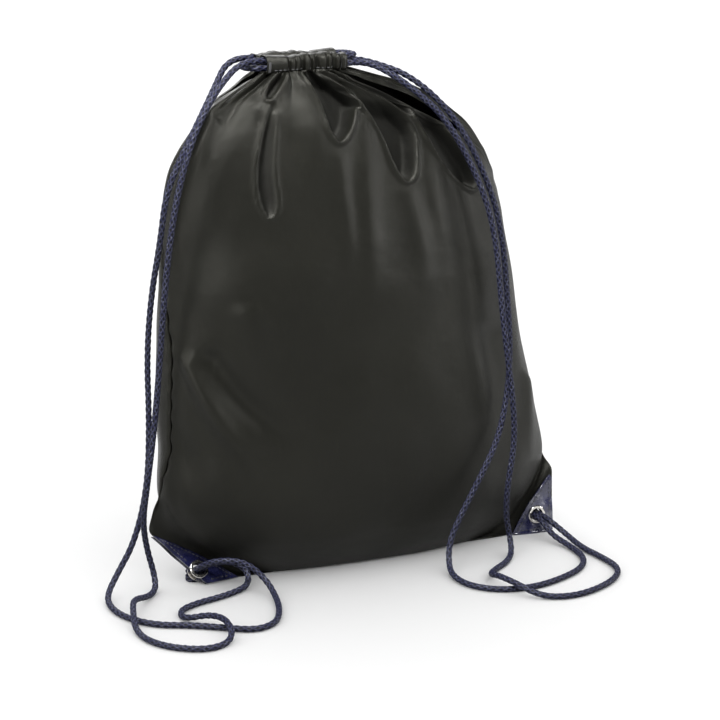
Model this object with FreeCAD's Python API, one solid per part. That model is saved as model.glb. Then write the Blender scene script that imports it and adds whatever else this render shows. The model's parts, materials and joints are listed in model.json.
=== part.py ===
import FreeCAD, Part
import math
import os

# Drawstring backpack: two sewn panels gathered on a pair of cord loops, standing lightly filled.
# X is the width, with the wearer's view of the front at -Y. Z is up and the floor is at 0. Millimetres.

V = FreeCAD.Vector

# Driving sizes of the bag
PANEL_WALL = 2.0        # stands for the cloth and the air that holds it off the contents
BAG_TOP = 398.0         # where the neck meets the hem tunnels

# Hem tunnels, one for each panel
HEM_LENGTH = 66.0
HEM_CENTRE_X = -50.0    # the neck leans to the left of the base
HEM_HEIGHT = 14.0
HEM_DEPTH = 14.0
MOUTH_GAP = 6.0         # between the two tunnels
HEM_LIFT = 0.5          # gap under a tunnel, so that it can tip
NECK_ROOM = 2.0         # the neck is this much longer than the hem at each end
HEM_EDGE_R = 4.0
TUNNEL_ROOM = 0.7       # play around the two cords in a tunnel

# Cord
CORD_D = 5.0
CORD_STEP = 5.6         # height between the two cords in one tunnel
CORD_MIN_R_D = 3.0      # a limp cord's tightest free bend, in diameters
RUN_SHARE = 0.45        # the share of the shorter run that an arc takes
PAIR_ROOM = 0.05        # play beside each cord in an eyelet
EYELET_RUN = 12.0       # straight cord in front of an eyelet
TURN_OUT = 12.0         # how far a cord's turn stands out of the far end of the hem
FLOOR_ROOM = 0.1        # play under a cord that lies on the floor

# Corner ears, patches and eyelets
EAR_CLOTH = 1.0         # one panel's cloth in the flat corner
PATCH_T = 1.4
EYELET_BORE_R = 5.3
EYELET_WALL = 0.6
EYELET_FLANGE_R = 7.6
EYELET_FLANGE_T = 1.0
EYELET_ROLL = 0.8       # share of the flange's thickness that its rim is rounded by
EYELET_HOLE_ROOM = 0.05
WASHER_T = 0.8
KNOT_R = 7.5
KNOT_LENGTH = 11.0
KNOT_ROUND = 0.35       # share of the knot's radius that its ends are rounded by

# Stitching
STITCH_L = 3.0
STITCH_PITCH = 4.5
STITCH_W = 0.7
STITCH_T = 0.35
PATCH_STITCH_INSET = 3.0
HEM_STITCH_FROM_EDGE = 3.0
BARTACK_W = 2.4
BARTACK_H = 9.0
BARTACK_FROM_END = 3.5
BARTACK_FOOT = 1.0      # a tack's height above the hem's foot
BACKED_SHARE = 0.98     # a stitch is kept where this much of it has patch under it
TINY = 0.01             # lengths nearer than this are the same
CUT_PAST = 1.0          # a cut that goes right through runs on this far past each face

# Rings of the belly: height, centre in X, half width, half depth.
# The low rings stand over the corners, and the upper ones hang from the neck.
BELLY = [
    (0.0, 10.0, 112.0, 23.0),
    (12.0, 9.0, 131.0, 34.0),
    (30.0, 4.0, 149.0, 45.0),
    (60.0, 0.0, 167.0, 54.0),
    (115.0, -6.0, 164.0, 60.0),
    (175.0, -13.0, 156.0, 58.0),
    (BAG_TOP - 163.0, -17.0, 150.0, 54.0),
    (BAG_TOP - 108.0, -20.0, 143.0, 47.0),
    (BAG_TOP - 68.0, -23.0, 131.0, 40.0),
    (BAG_TOP - 41.0, -26.0, 111.0, 33.0),
    (BAG_TOP - 21.0, -33.0, 86.0, 26.0),
    (BAG_TOP - 9.0, -42.0, 58.0, 21.0),
    (BAG_TOP, HEM_CENTRE_X, HEM_LENGTH / 2 + NECK_ROOM, MOUTH_GAP / 2 + HEM_DEPTH),
]

# Corner ears: the point up the side seam, the point along the bottom seam, the tip,
# and the eyelet's place as shares of the three
LEFT_EAR = (V(-174, 8, 38), V(-111, -13, 0.3), V(-140, -17, 0.3))
RIGHT_EAR = (V(174, -12, 50), V(134, -16, 0.3), V(171, -19, 0.3))
LEFT_EYELET_AT = (0.27, 0.20)
RIGHT_EYELET_AT = (0.31, 0.40)

# Outlines in an ear's plane, as shares of its side edge and of its bottom edge from the tip.
# The cloth runs on past the patch into the belly.
PATCH_OUTLINE = ((0, 0), (1, 0), (0, 1))
EAR_OUTLINE = ((0, 0), (1, 0), (0.75, 1.3), (0, 1))

HEM_BOTTOM = BAG_TOP + HEM_LIFT
TUNNEL_Z = HEM_BOTTOM + HEM_HEIGHT / 2
TUNNEL_Y = MOUTH_GAP / 2 + HEM_DEPTH / 2
HEM_LEFT = HEM_CENTRE_X - HEM_LENGTH / 2
HEM_RIGHT = HEM_CENTRE_X + HEM_LENGTH / 2
FLOOR = CORD_D / 2 + FLOOR_ROOM
UPPER_TRACK = TUNNEL_Z + CORD_STEP / 2
LOWER_TRACK = TUNNEL_Z - CORD_STEP / 2
STACK = EAR_CLOTH + PATCH_T
KNOT_FACE = -(STACK + WASHER_T)
PAIR = CORD_D / 2 + PAIR_ROOM


def half_ring(ring, side, inset):
    """Closed D of one ring: side -1 is the front half, 1 the back half."""
    z, centre, half_width, half_depth = ring
    a = half_width - inset
    b = half_depth - inset
    left, right = V(centre - a, 0, z), V(centre + a, 0, z)
    ellipse = Part.Ellipse(V(centre, 0, z), a, b)
    if side > 0:
        arc = Part.Arc(ellipse, 0, math.pi).toShape()
    else:
        arc = Part.Arc(ellipse, math.pi, 2 * math.pi).toShape()
    ends = (right, left) if side > 0 else (left, right)
    return Part.Wire([arc, Part.LineSegment(ends[1], ends[0]).toShape()])


def half_belly(side, inset=0.0, rings=None):
    return Part.makeLoft([half_ring(ring, side, inset) for ring in rings or BELLY], True, False)


def cavity(side):
    """The room inside one half, open at the neck and closed above the floor."""
    low = (PANEL_WALL,) + BELLY[0][1:]
    high = (BAG_TOP + CUT_PAST,) + BELLY[-1][1:]
    return half_belly(side, PANEL_WALL, [low] + BELLY[1:-1] + [high])


def ear_axes(ear):
    """The flat ear's plane: its tip, two directions in it, and the normal that faces the front."""
    side_point, seam_point, tip = ear
    across = (seam_point - tip).normalize()
    normal = (side_point - tip).cross(seam_point - tip).normalize()
    if normal.y > 0:
        normal = normal * -1
    return tip, across, normal


def ear_point(ear, up, along):
    """A place in the ear's plane: shares of its side edge and of its bottom edge, from the tip."""
    side_point, seam_point, tip = ear
    return tip + (side_point - tip) * up + (seam_point - tip) * along


def ear_plate(ear, low, high, outline):
    """Flat plate in the ear between two heights above its middle plane."""
    normal = ear_axes(ear)[2]
    corners = [ear_point(ear, up, along) + normal * low for up, along in outline]
    face = Part.Face(Part.makePolygon(corners + corners[:1]))
    return face.extrude(normal * (high - low))


def eyelet_centre(ear, shares):
    return ear_point(ear, *shares)


def eyelet_hole(ear, shares):
    normal = ear_axes(ear)[2]
    radius = EYELET_BORE_R + EYELET_WALL + EYELET_HOLE_ROOM
    base = eyelet_centre(ear, shares) - normal * 2 * STACK
    return Part.makeCylinder(radius, 4 * STACK, base, normal)


def floor_cut(shape):
    """Nothing goes below the floor."""
    reach = 2 * BAG_TOP
    box = Part.makeBox(2 * reach, 2 * reach, reach, V(-reach, -reach, -reach))
    return shape.cut(box)


def front_panel():
    """Front half of the belly with the flat corner ears, which are both panels' cloth."""
    shell = half_belly(-1)
    for ear, shares in ((LEFT_EAR, LEFT_EYELET_AT), (RIGHT_EAR, RIGHT_EYELET_AT)):
        plate = ear_plate(ear, -EAR_CLOTH, EAR_CLOTH, EAR_OUTLINE)
        plate = plate.cut(half_belly(1)).cut(eyelet_hole(ear, shares))
        shell = shell.fuse(floor_cut(plate))
    return largest(shell.cut(cavity(-1)))


def back_panel():
    return largest(half_belly(1).cut(cavity(1)))


def patch(ear, shares, side):
    low, high = (EAR_CLOTH, STACK) if side < 0 else (-STACK, -EAR_CLOTH)
    plate = ear_plate(ear, low, high, PATCH_OUTLINE)
    for half in (-1, 1):
        plate = plate.cut(half_belly(half))
    return largest(floor_cut(plate).cut(eyelet_hole(ear, shares)))


def largest(shape):
    return max(shape.Solids, key=lambda solid: solid.Volume)


def tube_ring(outer_r, inner_r, height, base, axis):
    outer = Part.makeCylinder(outer_r, height, base, axis)
    return outer.cut(Part.makeCylinder(inner_r, height, base, axis))


def eyelet(ear, shares):
    """Front flange with a rolled lip and the barrel through the ear."""
    normal = ear_axes(ear)[2]
    centre = eyelet_centre(ear, shares)
    barrel = tube_ring(EYELET_BORE_R + EYELET_WALL, EYELET_BORE_R, 2 * STACK + WASHER_T,
                       centre - normal * (STACK + WASHER_T), normal)
    flange = tube_ring(EYELET_FLANGE_R, EYELET_BORE_R, EYELET_FLANGE_T,
                       centre + normal * STACK, normal)
    rim = [edge for edge in flange.Edges if abs(edge.Length - 2 * math.pi * EYELET_FLANGE_R) < TINY]
    top = max(rim, key=lambda edge: edge.CenterOfMass.dot(normal))
    flange = flange.makeFillet(EYELET_FLANGE_T * EYELET_ROLL, [top])
    return barrel.fuse(flange).removeSplitter()


def washer(ear, shares):
    normal = ear_axes(ear)[2]
    base = eyelet_centre(ear, shares) - normal * (STACK + WASHER_T)
    return tube_ring(EYELET_FLANGE_R, EYELET_BORE_R + EYELET_WALL, WASHER_T, base, normal)


def knot(ear, shares):
    """Rounded overhand knot behind the washer, flat where the two cord ends leave it."""
    normal = ear_axes(ear)[2]
    top = eyelet_centre(ear, shares) - normal * (STACK + WASHER_T)
    body = Part.makeCylinder(KNOT_R, KNOT_LENGTH, top - normal * KNOT_LENGTH, normal)
    ends = [edge for edge in body.Edges if len(edge.Vertexes) == 1 or edge.Closed]
    return floor_cut(body.makeFillet(KNOT_R * KNOT_ROUND, ends))


def hem_tunnel(side):
    """Gathered hem of one panel: a rounded bar with a slot for the two cords."""
    y0 = TUNNEL_Y * side - HEM_DEPTH / 2
    bar = Part.makeBox(HEM_LENGTH, HEM_DEPTH, HEM_HEIGHT, V(HEM_LEFT, y0, HEM_BOTTOM))
    top = [
        edge for edge in bar.Edges
        if abs(edge.Length - HEM_LENGTH) < TINY and edge.CenterOfMass.z > TUNNEL_Z
    ]
    bar = bar.makeFillet(HEM_EDGE_R, top)
    slot_w = CORD_D + 2 * TUNNEL_ROOM
    slot_h = CORD_D + CORD_STEP + 2 * TUNNEL_ROOM
    slot = Part.makeBox(HEM_LENGTH + 2 * CUT_PAST, slot_w, slot_h,
                        V(HEM_LEFT - CUT_PAST, TUNNEL_Y * side - slot_w / 2, TUNNEL_Z - slot_h / 2))
    return bar.cut(slot)


def hem_stitching(side):
    """One row of stitches along the foot of the hem, on its outer face."""
    face_y = (MOUTH_GAP / 2 + HEM_DEPTH) * side
    y0 = face_y if side > 0 else face_y - STITCH_T
    count = int((HEM_LENGTH - 2 * BARTACK_FROM_END - 2 * BARTACK_W) / STITCH_PITCH)
    start = HEM_CENTRE_X - (count - 1) * STITCH_PITCH / 2 - STITCH_L / 2
    rows = [
        Part.makeBox(STITCH_L, STITCH_T, STITCH_W,
                     V(start + i * STITCH_PITCH, y0, HEM_BOTTOM + HEM_STITCH_FROM_EDGE))
        for i in range(count)
    ]
    return Part.makeCompound(rows)


def bartacks(side):
    """The dense tack that closes each end of the hem's seam."""
    face_y = (MOUTH_GAP / 2 + HEM_DEPTH) * side
    y0 = face_y if side > 0 else face_y - STITCH_T
    starts = (HEM_LEFT + BARTACK_FROM_END - BARTACK_W, HEM_RIGHT - BARTACK_FROM_END)
    return Part.makeCompound([
        Part.makeBox(BARTACK_W, STITCH_T, BARTACK_H, V(x, y0, HEM_BOTTOM + BARTACK_FOOT)) for x in starts
    ])


def patch_stitching(ear, shares, side, patch_solid):
    """Stitches along the tip edges of one patch, where it lies flat."""
    side_point, seam_point, tip = ear
    normal = ear_axes(ear)[2]
    height = STACK if side < 0 else -STACK - STITCH_T
    stitches = []
    for far in (side_point, seam_point):
        other = seam_point if far is side_point else side_point
        along = (far - tip).normalize()
        inward = normal.cross(along).normalize()
        if inward.dot(other - tip) < 0:
            inward = inward * -1
        count = int(((far - tip).Length - 4 * PATCH_STITCH_INSET) / STITCH_PITCH)
        for i in range(count):
            at = tip + along * (2 * PATCH_STITCH_INSET + i * STITCH_PITCH) + inward * PATCH_STITCH_INSET
            corners = [
                at + normal * height,
                at + along * STITCH_L + normal * height,
                at + along * STITCH_L + inward * STITCH_W + normal * height,
                at + inward * STITCH_W + normal * height,
            ]
            face = Part.Face(Part.makePolygon(corners + corners[:1]))
            stitch = face.extrude(normal * STITCH_T)
            if lies_on(stitch, patch_solid, normal, eyelet_centre(ear, shares)):
                stitches.append(stitch)
    return Part.makeCompound(stitches)


def lies_on(stitch, patch_solid, normal, eyelet_at):
    """True where the whole stitch has patch under it and stays off the eyelet and the floor."""
    down = stitch.copy()
    outer = stitch.CenterOfMass.dot(normal) > eyelet_at.dot(normal)
    down.translate(normal * (-STITCH_T if outer else STITCH_T))
    backed = down.common(patch_solid).Volume > BACKED_SHARE * down.Volume
    off = stitch.CenterOfMass - eyelet_at
    clear = (off - normal * off.dot(normal)).Length > EYELET_FLANGE_R + STITCH_L
    return backed and clear and stitch.BoundBox.ZMin > FLOOR_ROOM


def entry(ear, shares, offset, distance):
    """A point on a cord's line through the eyelet, a distance in front of the ear."""
    tip, across, normal = ear_axes(ear)
    return eyelet_centre(ear, shares) + across * offset + normal * distance


LEFT_ROUTE = [
    entry(LEFT_EAR, LEFT_EYELET_AT, -PAIR, KNOT_FACE),
    entry(LEFT_EAR, LEFT_EYELET_AT, -PAIR, EYELET_RUN),
    V(-134, -38, 27), V(-116, -44, 24), V(-103, -52, 11), V(-103, -74, FLOOR), V(-112, -101, FLOOR),
    V(-124, -121, FLOOR), V(-143, -127, FLOOR), V(-164, -111, FLOOR), V(-184, -97, FLOOR),
    V(-205, -87, FLOOR), V(-220, -67, FLOOR), V(-226, -42, FLOOR), V(-222, -18, 4), V(-209, -6, 16),
    V(-194, -7, 41), V(-182, -6, 84), V(-179, -5, 136), V(-179, -3, 188), V(-176, -8, 236),
    V(-171, -17, 278), V(-167, -21, 316), V(-152, -19, 344), V(-136, -13, 368), V(-120, -3, 389),
    V(-104, TUNNEL_Y, UPPER_TRACK),
    V(HEM_RIGHT + TURN_OUT, TUNNEL_Y, UPPER_TRACK),
    V(HEM_RIGHT + TURN_OUT, -TUNNEL_Y, UPPER_TRACK),
    V(-101, -TUNNEL_Y, UPPER_TRACK),
    V(-120, -19, 395), V(-138, -28, 376), V(-153, -36, 352), V(-163, -38, 322), V(-170, -36, 285),
    V(-174, -30, 235), V(-177, -25, 183), V(-182, -24, 134), V(-188, -22, 90), V(-190, -15, 59),
    V(-184, -6, 33), V(-179, -7, 13), V(-181, -17, 3), V(-192, -29, FLOOR), V(-210, -47, 10),
    V(-218, -68, 10), V(-224, -90, FLOOR), V(-222, -115, FLOOR), V(-208, -136, FLOOR),
    V(-186, -148, FLOOR), V(-166, -139, FLOOR), V(-161, -122, 10), V(-166, -101, 10),
    V(-184, -84, FLOOR), V(-180, -66, FLOOR), V(-162, -57, FLOOR), V(-143, -53, FLOOR),
    V(-124, -46, FLOOR), V(-112, -39, 4), V(-109, -28, 12), V(-122, -24, 20),
    entry(LEFT_EAR, LEFT_EYELET_AT, PAIR, EYELET_RUN),
    entry(LEFT_EAR, LEFT_EYELET_AT, PAIR, KNOT_FACE),
]

RIGHT_ROUTE = [
    entry(RIGHT_EAR, RIGHT_EYELET_AT, PAIR, KNOT_FACE),
    entry(RIGHT_EAR, RIGHT_EYELET_AT, PAIR, EYELET_RUN),
    V(157, -44, 6), V(162, -68, FLOOR), V(159, -94, FLOOR), V(145, -114, FLOOR), V(121, -127, FLOOR),
    V(91, -136, FLOOR), V(62, -131, FLOOR), V(45, -113, FLOOR), V(42, -90, FLOOR), V(47, -71, 5),
    V(52, -62, 22), V(63, -62, 44), V(80, -61, 72), V(97, -58, 100), V(109, -51, 134),
    V(112, -49, 176), V(109, -47, 218), V(106, -46, 254), V(99, -45, 288), V(88, -42, 318),
    V(75, -35, 347), V(59, -26, 371), V(38, -11, 391), V(18, 3, 399), V(4, TUNNEL_Y, LOWER_TRACK),
    V(HEM_LEFT - TURN_OUT, TUNNEL_Y, LOWER_TRACK),
    V(HEM_LEFT - TURN_OUT, -TUNNEL_Y, LOWER_TRACK),
    V(4, -TUNNEL_Y, LOWER_TRACK),
    V(20, -24, 393), V(37, -33, 379), V(54, -39, 362), V(68, -43, 340), V(81, -47, 313), V(91, -51, 284),
    V(97, -53, 250), V(99, -56, 214), V(103, -60, 172), V(109, -61, 130), V(112, -59, 96),
    V(105, -61, 62), V(107, -55, 34), V(113, -51, 15), V(110, -61, 4), V(98, -76, FLOOR),
    V(80, -88, FLOOR), V(68, -102, 5), V(66, -118, 10), V(70, -137, 10), V(84, -157, FLOOR),
    V(106, -166, FLOOR), V(132, -160, FLOOR), V(157, -146, FLOOR), V(172, -126, FLOOR),
    V(172, -99, FLOOR), V(169, -72, FLOOR), V(169, -46, 6),
    entry(RIGHT_EAR, RIGHT_EYELET_AT, -PAIR, EYELET_RUN),
    entry(RIGHT_EAR, RIGHT_EYELET_AT, -PAIR, KNOT_FACE),
]


def cord(name, route):
    """Round tube along straight runs that tangent arcs join; prints its tightest bend."""
    edges = []
    start = route[0]
    tightest = math.inf
    length = 0.0
    for before, corner, after in zip(route, route[1:], route[2:]):
        back = before - corner
        ahead = after - corner
        reach = RUN_SHARE * min(back.Length, ahead.Length)
        turn = math.pi - back.getAngle(ahead)
        radius = reach / math.tan(turn / 2)
        tightest = min(tightest, radius)
        if radius < CORD_MIN_R_D * CORD_D:
            print(f"{name}: radius {radius:.1f} at {corner.x:.0f}, {corner.y:.0f}, {corner.z:.0f}")
        back.normalize()
        ahead.normalize()
        first = corner + back * reach
        last = corner + ahead * reach
        inward = (back + ahead).normalize()
        middle = corner + inward * (radius / math.cos(turn / 2) - radius)
        edges.append(Part.LineSegment(start, first).toShape())
        edges.append(Part.Arc(first, middle, last).toShape())
        length += (first - start).Length + radius * turn
        start = last
    edges.append(Part.LineSegment(start, route[-1]).toShape())
    length += (route[-1] - start).Length
    path = Part.Wire(edges)
    circle = Part.Circle(route[0], route[1] - route[0], CORD_D / 2).toShape()
    tube = path.makePipeShell([Part.Wire([circle])], True, False)
    expected = math.pi * (CORD_D / 2) ** 2 * length
    print(f"{name}: length {length:.0f}, tightest bend {tightest:.1f}, volume {tube.Volume / expected:.4f}")
    return tube


def save(name, shape):
    shape.exportStep(f"parts/{name}.step")
    print(f"{name}: valid {shape.isValid()}, solids {len(shape.Solids)}, volume {shape.Volume:.0f}")


def main():
    os.makedirs("parts", exist_ok=True)
    save("front_panel", front_panel())
    save("back_panel", back_panel())
    for word, side in (("front", -1), ("back", 1)):
        save(f"{word}_hem_tunnel", hem_tunnel(side))
        save(f"{word}_hem_stitching", hem_stitching(side))
        save(f"{word}_hem_bartacks", bartacks(side))
    corners = (("left", LEFT_EAR, LEFT_EYELET_AT), ("right", RIGHT_EAR, RIGHT_EYELET_AT))
    for word, ear, shares in corners:
        for face, side in (("front", -1), ("back", 1)):
            piece = patch(ear, shares, side)
            save(f"{word}_{face}_corner_patch", piece)
            save(f"{word}_{face}_patch_stitching", patch_stitching(ear, shares, side, piece))
        save(f"{word}_eyelet", eyelet(ear, shares))
        save(f"{word}_eyelet_washer", washer(ear, shares))
        save(f"{word}_cord_knot", knot(ear, shares))
    save("left_cord", cord("left_cord", LEFT_ROUTE))
    save("right_cord", cord("right_cord", RIGHT_ROUTE))


main()
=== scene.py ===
"""Drawstring backpack: two satin panels gathered on two braided cord loops, with leatherette corners."""

import json
import math

import bmesh
import bpy
import numpy as np
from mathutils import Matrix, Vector, noise


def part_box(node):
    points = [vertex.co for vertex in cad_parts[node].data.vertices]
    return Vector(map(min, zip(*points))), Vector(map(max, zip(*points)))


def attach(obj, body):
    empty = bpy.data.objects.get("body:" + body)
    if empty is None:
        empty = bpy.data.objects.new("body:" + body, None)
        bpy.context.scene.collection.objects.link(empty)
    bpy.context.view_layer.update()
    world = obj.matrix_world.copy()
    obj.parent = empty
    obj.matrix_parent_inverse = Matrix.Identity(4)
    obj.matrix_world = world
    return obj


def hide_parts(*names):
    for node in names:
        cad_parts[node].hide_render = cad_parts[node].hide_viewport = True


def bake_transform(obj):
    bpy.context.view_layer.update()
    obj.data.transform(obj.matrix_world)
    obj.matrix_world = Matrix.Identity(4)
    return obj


bl_info = {
    "name": "Drawstring Backpack",
    "version": (1, 0, 0),
    "blender": (4, 5, 0),
    "location": "3D View > Sidebar > Backpack",
    "description": "Builds the cloth, cords, corners and hardware of a drawstring backpack",
    "category": "Mesh",
}

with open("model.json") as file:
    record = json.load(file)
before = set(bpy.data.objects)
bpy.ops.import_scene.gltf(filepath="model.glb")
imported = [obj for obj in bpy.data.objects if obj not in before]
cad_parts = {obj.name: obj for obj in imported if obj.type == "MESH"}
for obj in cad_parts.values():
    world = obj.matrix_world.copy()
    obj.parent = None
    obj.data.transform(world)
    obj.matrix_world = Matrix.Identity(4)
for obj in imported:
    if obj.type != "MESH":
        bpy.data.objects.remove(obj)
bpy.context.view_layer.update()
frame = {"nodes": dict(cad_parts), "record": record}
BODIES = frame["record"]["behaviour"]["bodies"]

FRONT, BACK = -1, 1
LEFT, RIGHT = -1, 1
SIDE_WORDS = {FRONT: "front", BACK: "back"}
EDGE_WORDS = {LEFT: "left", RIGHT: "right"}

# The hem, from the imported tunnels
HEM_LOW, HEM_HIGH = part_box("front_hem_tunnel")
HEM_LEFT, HEM_RIGHT = HEM_LOW[0], HEM_HIGH[0]
HEM_BOTTOM, HEM_TOP = HEM_LOW[2], HEM_HIGH[2]
HEM_DEPTH = HEM_HIGH[1] - HEM_LOW[1]
TUNNEL_Y = -(HEM_LOW[1] + HEM_HIGH[1]) / 2
TUNNEL_Z = (HEM_BOTTOM + HEM_TOP) / 2
HEM_CENTRE = (HEM_LEFT + HEM_RIGHT) / 2
BAG_TOP = HEM_BOTTOM - 0.0005

# The cloth as it was cut, without the hem
CUT_WIDTH = 0.372
CUT_HEIGHT = 0.430

# Rings of the filled bag: height, centre in X, half width, half depth
BELLY = np.array([
    (0.000, 0.010, 0.112, 0.023),
    (0.012, 0.009, 0.131, 0.034),
    (0.030, 0.004, 0.149, 0.045),
    (0.060, 0.000, 0.167, 0.054),
    (0.115, -0.006, 0.164, 0.060),
    (0.175, -0.013, 0.156, 0.058),
    (BAG_TOP - 0.163, -0.017, 0.150, 0.054),
    (BAG_TOP - 0.108, -0.020, 0.143, 0.047),
    (BAG_TOP - 0.068, -0.023, 0.131, 0.040),
    (BAG_TOP - 0.041, -0.026, 0.111, 0.033),
    (BAG_TOP - 0.021, -0.033, 0.086, 0.026),
    (BAG_TOP - 0.009, -0.042, 0.058, 0.021),
    (BAG_TOP, HEM_CENTRE, (HEM_RIGHT - HEM_LEFT) / 2 + 0.002, TUNNEL_Y + HEM_DEPTH / 2),
])
CORD_D = 0.005
CORD_CORE_R = CORD_D / 2 - 0.0005     # the strands stand above it; slim, to keep within the hem
KNOT_CORE_R = 0.0021
KNOT_STEPS = 96
KNOT_BEHIND = 0.0088    # from the ear's middle to the knot's
FLOOR_ROOM = 0.0012     # lowest middle of a sheet, so that its under side stays off the floor
FLOOR = CORD_D / 2 + 0.0001
UPPER = TUNNEL_Z + 0.0028
LOWER = TUNNEL_Z - 0.0028
KNOT_FACE = -0.0032
PAIR = CORD_D / 2 + 0.00005
EYELET_RUN = 0.012
TURN_OUT = 0.012
EYELET_HOLE_R = 0.0059

# The patches and the stitches
PATCH_OFF_EAR = 0.0023      # from the ear's middle to a patch
STITCH_OFF_EAR = 0.0026
PATCH_STITCH_PITCH = 0.0034
PATCH_STITCH_INSET = 0.0032
STITCH_SHARE = 0.72         # of the pitch that a stitch shows
HEM_STITCH_PITCH = 0.0036
HEM_STITCH_LEVEL = HEM_BOTTOM + 0.0026
HEM_STITCH_INSET = 0.006
STITCH_PROUD = 0.0001       # of the cloth
TACK_PASSES = 16

# The right seam's turn towards the front, at drops below the bag's top
SEAM_DROPS = (0.0, 0.008, 0.020, 0.035, 0.050, 0.070, 0.100, 0.140)
SEAM_DEGREES = (40.0, 52.0, 50.0, 44.0, 34.0, 20.0, 6.0, 0.0)

# The soft hem: its reach above and below the cords' middle, and how square it is
HEM_RISE = 0.0063
HEM_FALL = 0.0076
HEM_CRISP = 0.78
HEM_FOOT_CRISP = 0.50
HEM_PRESS_MOST = 0.0042     # the deepest that a pleat is pressed in, to leave the cords room


class Ear:
    """One flat corner: its point on the side seam, its point on the bottom seam, its tip and its eyelet."""

    def __init__(self, side_point, seam_point, tip, shares):
        self.side_point = Vector(side_point)
        self.seam_point = Vector(seam_point)
        self.tip = Vector(tip)
        self.up_length = (self.side_point - self.tip).length
        self.along_length = (self.seam_point - self.tip).length
        self.across = (self.seam_point - self.tip).normalized()
        normal = (self.side_point - self.tip).cross(self.seam_point - self.tip).normalized()
        self.normal = -normal if normal.y > 0 else normal
        self.eyelet = self.point(*shares)
        self.shares = shares

    def point(self, up, along):
        """The place on the ear at a share of the way up and a share along."""
        return self.tip + (self.side_point - self.tip) * up + (self.seam_point - self.tip) * along

    def points(self, up, along, height):
        """The same for whole arrays of shares, each lifted off the ear by a height."""
        tip, side_point, seam_point = (np.array(p) for p in (self.tip, self.side_point, self.seam_point))
        place = tip + (side_point - tip) * up[..., None] + (seam_point - tip) * along[..., None]
        return place + np.array(self.normal) * np.asarray(height)[..., None]

    def entry(self, offset, distance):
        """A point on a cord's straight line through the eyelet."""
        return tuple(self.eyelet + self.across * offset + self.normal * distance)


EARS = {
    LEFT: Ear((-0.174, 0.008, 0.038), (-0.111, -0.013, 0.0003), (-0.140, -0.017, 0.0003), (0.27, 0.20)),
    RIGHT: Ear((0.174, -0.012, 0.050), (0.134, -0.016, 0.0003), (0.171, -0.019, 0.0003), (0.31, 0.40)),
}
BOTTOM_EDGE = (EARS[RIGHT].seam_point - EARS[LEFT].seam_point).length \
    + EARS[LEFT].along_length + EARS[RIGHT].along_length

LEFT_ROUTE = [
    EARS[LEFT].entry(-PAIR, KNOT_FACE), EARS[LEFT].entry(-PAIR, EYELET_RUN), (-0.134, -0.038, 0.027),
    (-0.116, -0.044, 0.024), (-0.103, -0.052, 0.011), (-0.103, -0.074, FLOOR), (-0.112, -0.101, FLOOR),
    (-0.124, -0.121, FLOOR), (-0.143, -0.127, FLOOR), (-0.164, -0.111, FLOOR), (-0.184, -0.097, FLOOR),
    (-0.205, -0.087, FLOOR), (-0.220, -0.067, FLOOR), (-0.226, -0.042, FLOOR), (-0.222, -0.018, 0.004),
    (-0.209, -0.006, 0.016), (-0.194, -0.007, 0.041), (-0.182, -0.006, 0.084), (-0.179, -0.005, 0.136),
    (-0.179, -0.003, 0.188), (-0.176, -0.008, 0.236), (-0.171, -0.017, 0.278), (-0.167, -0.021, 0.316),
    (-0.152, -0.019, 0.344), (-0.136, -0.013, 0.368), (-0.120, -0.003, 0.389), (-0.104, TUNNEL_Y, UPPER),
    (-0.076, TUNNEL_Y, UPPER), (-0.025, TUNNEL_Y, UPPER), (HEM_RIGHT + TURN_OUT, TUNNEL_Y, UPPER),
    (HEM_RIGHT + TURN_OUT, -TUNNEL_Y, UPPER), (-0.025, -TUNNEL_Y, UPPER), (-0.076, -TUNNEL_Y, UPPER),
    (-0.101, -TUNNEL_Y, UPPER), (-0.120, -0.019, 0.395), (-0.138, -0.028, 0.376), (-0.153, -0.036, 0.352),
    (-0.163, -0.038, 0.322), (-0.170, -0.036, 0.285), (-0.174, -0.030, 0.235), (-0.177, -0.025, 0.183),
    (-0.182, -0.024, 0.134), (-0.188, -0.022, 0.090), (-0.190, -0.015, 0.059), (-0.184, -0.006, 0.033),
    (-0.179, -0.007, 0.013), (-0.181, -0.017, 0.003), (-0.192, -0.029, FLOOR), (-0.210, -0.047, 0.010),
    (-0.218, -0.068, 0.010), (-0.224, -0.090, FLOOR), (-0.222, -0.115, FLOOR), (-0.208, -0.136, FLOOR),
    (-0.186, -0.148, FLOOR), (-0.166, -0.139, FLOOR), (-0.161, -0.122, 0.010), (-0.166, -0.101, 0.010),
    (-0.184, -0.084, FLOOR), (-0.180, -0.066, FLOOR), (-0.162, -0.057, FLOOR), (-0.143, -0.053, FLOOR),
    (-0.124, -0.046, FLOOR), (-0.112, -0.039, 0.004), (-0.109, -0.028, 0.012), (-0.122, -0.024, 0.020),
    EARS[LEFT].entry(PAIR, EYELET_RUN), EARS[LEFT].entry(PAIR, KNOT_FACE),
]
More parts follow.
